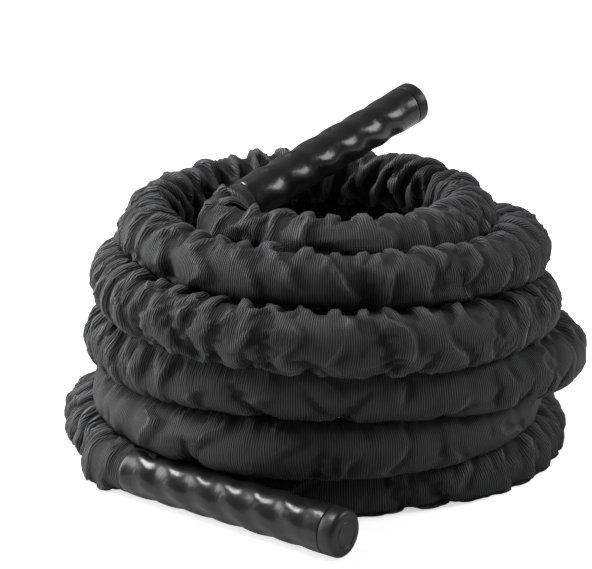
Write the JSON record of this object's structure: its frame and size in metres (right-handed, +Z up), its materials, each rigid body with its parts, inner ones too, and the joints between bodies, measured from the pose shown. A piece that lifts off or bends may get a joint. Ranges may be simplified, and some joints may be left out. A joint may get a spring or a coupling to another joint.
{
  "type": "battle rope",
  "caption": "Heavy training rope in a loose woven sleeve, heaped in a round coil, with a ridged shrink-tube grip and a round cap at each end.",
  "frame": {"origin": "centre of the whole heap's box, on the floor it lies on", "axes": "+Z up; the picture looks along +Y; the lower grip lies at -Y and the upper grip stands out towards +X and +Y"},
  "size_m": [0.5037, 0.542, 0.3342],
  "materials": {
    "sleeve_fabric": "woven, matt",
    "rope_fibre": "twisted, matt",
    "shrink_tube": "glossy",
    "tape_vinyl": "satin",
    "cap_rubber": "satin"
  },
  "bodies": {
    "root": {"rope_core": "rope_fibre", "sleeve": "sleeve_fabric", "upper_sleeve_tape": "tape_vinyl", "lower_sleeve_tape": "tape_vinyl", "upper_grip": "shrink_tube", "lower_grip": "shrink_tube", "upper_rope_end_tape": "tape_vinyl", "lower_rope_end_tape": "tape_vinyl", "upper_end_cap": "cap_rubber", "lower_end_cap": "cap_rubber"}
  },
  "joints": []
}
